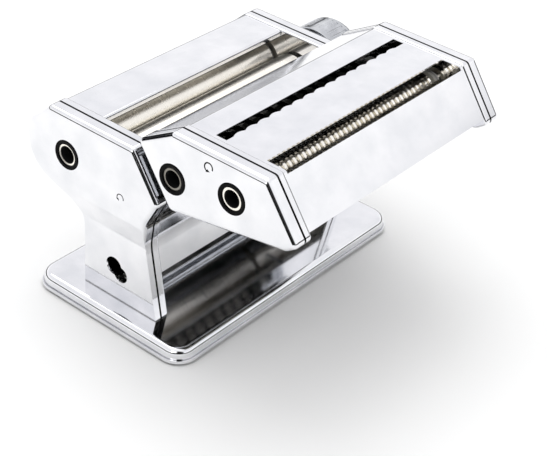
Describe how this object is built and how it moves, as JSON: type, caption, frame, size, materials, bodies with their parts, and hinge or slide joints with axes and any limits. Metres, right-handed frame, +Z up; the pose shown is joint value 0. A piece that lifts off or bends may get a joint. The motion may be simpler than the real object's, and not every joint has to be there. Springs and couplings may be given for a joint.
{
  "type": "pasta roller machine",
  "caption": "Hand-cranked pasta machine: two smooth rollers with a thickness knob on a pressed chrome body, and a lift-off cutter head with wide and narrow noodle rolls.",
  "frame": {"origin": "middle of the underside of the rubber pad under the base", "axes": "+X along the rollers towards the regulator knob, -Y towards the cutter head, +Z up"},
  "size_m": [0.22, 0.1996, 0.1453],
  "materials": {
    "pressed_chrome": "chromed sheet steel, mirror polished",
    "roller_steel": "nickel-plated steel, finely ground",
    "gear_steel": "hardened steel, cut teeth",
    "frame_steel": "zinc-plated steel",
    "bush_plastic": "white acetal",
    "scraper_plastic": "white food-grade plastic",
    "comb_plastic": "black moulded plastic",
    "fastener_steel": "zinc-plated steel",
    "base_rubber": "black rubber sheet",
    "knob_metal": "turned aluminium, satin",
    "spring_steel": "spring steel wire"
  },
  "bodies": {
    "machine": {"base_plate": "pressed_chrome", "base_rubber_pad": "base_rubber", "base_screws": "fastener_steel", "base_nuts": "fastener_steel", "near_inner_frame": "frame_steel", "far_inner_frame": "frame_steel", "near_outer_cover": "pressed_chrome", "far_outer_cover": "pressed_chrome", "rear_top_cover": "pressed_chrome", "rear_lower_guard": "pressed_chrome", "front_top_cover": "pressed_chrome", "front_lower_guard": "pressed_chrome", "frame_tie_rods": "frame_steel", "tie_rod_nuts": "fastener_steel", "rear_roller_bushes": "bush_plastic", "rear_scraper": "frame_steel", "cutter_rails": "frame_steel", "index_ring": "knob_metal"},
    "rear_roller": {"rear_roller": "roller_steel", "rear_roller_gear": "gear_steel"},
    "front_carriage": {"near_bearing_block": "frame_steel", "far_bearing_block": "frame_steel", "carriage_tie_bar": "frame_steel", "front_scraper": "scraper_plastic"},
    "front_roller": {"front_roller": "roller_steel", "front_roller_gear": "gear_steel"},
    "regulator_shaft": {"regulator_cam_shaft": "gear_steel", "spring_washer": "fastener_steel"},
    "regulator_knob": {"regulator_knob": "knob_metal", "detent_pin": "gear_steel", "knob_spring": "spring_steel", "knob_end_cap": "knob_metal"},
    "cutter_head": {"cutter_near_frame": "frame_steel", "cutter_far_frame": "frame_steel", "cutter_near_cover": "pressed_chrome", "cutter_far_cover": "pressed_chrome", "cutter_top_cover": "pressed_chrome", "cutter_tie_rods": "frame_steel", "cutter_rod_nuts": "fastener_steel", "cutter_slide_brackets": "frame_steel", "cutter_bushes": "bush_plastic", "wide_drive_comb": "comb_plastic", "wide_idle_comb": "comb_plastic", "narrow_drive_comb": "comb_plastic", "narrow_idle_comb": "comb_plastic"},
    "wide_drive_roll": {"wide_drive_roll": "roller_steel", "wide_drive_gear": "gear_steel"},
    "wide_idle_roll": {"wide_idle_roll": "roller_steel", "wide_idle_gear": "gear_steel"},
    "narrow_drive_roll": {"narrow_drive_roll": "roller_steel", "narrow_drive_gear": "gear_steel"},
    "narrow_idle_roll": {"narrow_idle_roll": "roller_steel", "narrow_idle_gear": "gear_steel"}
  },
  "joints": [
    {"name": "rear_roller_spin", "type": "hinge", "parent": "machine", "child": "rear_roller", "pos_m": [0, 0.0405, 0.094], "axis": [1, 0, 0], "continuous": true},
    {"name": "front_carriage_slide", "type": "slide", "parent": "machine", "child": "front_carriage", "axis": [0, -1, 0], "range_m": [0, 0.00252]},
    {"name": "front_roller_spin", "type": "hinge", "parent": "front_carriage", "child": "front_roller", "pos_m": [0, 0.0125, 0.094], "axis": [1, 0, 0], "continuous": true},
    {"name": "thickness_dial", "type": "hinge", "parent": "machine", "child": "regulator_shaft", "pos_m": [0, 0.0125, 0.094], "axis": [1, 0, 0], "range_deg": [0, 160]},
    {"name": "knob_pull", "type": "slide", "parent": "regulator_shaft", "child": "regulator_knob", "axis": [1, 0, 0], "range_m": [0, 0.004], "stiffness_N_per_m": 800, "deforming": ["knob_spring"]},
    {"name": "cutter_head_lift", "type": "slide", "parent": "machine", "child": "cutter_head", "axis": [0, 0.5706, 0.8213], "range_m": [0, 0.04]},
    {"name": "wide_drive_spin", "type": "hinge", "parent": "cutter_head", "child": "wide_drive_roll", "pos_m": [0, -0.0425, 0.1176], "axis": [1, 0, 0], "continuous": true},
    {"name": "wide_idle_spin", "type": "hinge", "parent": "cutter_head", "child": "wide_idle_roll", "pos_m": [0, -0.06083, 0.12075], "axis": [1, 0, 0], "continuous": true},
    {"name": "narrow_drive_spin", "type": "hinge", "parent": "cutter_head", "child": "narrow_drive_roll", "pos_m": [0, -0.0833, 0.1246], "axis": [1, 0, 0], "continuous": true},
    {"name": "narrow_idle_spin", "type": "hinge", "parent": "cutter_head", "child": "narrow_idle_roll", "pos_m": [0, -0.10163, 0.12774], "axis": [1, 0, 0], "continuous": true}
  ],
  "couplings": [
    {"joint": "front_roller_spin", "follows": "rear_roller_spin", "ratio": -1},
    {"joint": "thickness_dial", "follows": "front_carriage_slide", "rad_per_m": 1108.1},
    {"joint": "wide_idle_spin", "follows": "wide_drive_spin", "ratio": -1},
    {"joint": "narrow_idle_spin", "follows": "narrow_drive_spin", "ratio": -1}
  ]
}
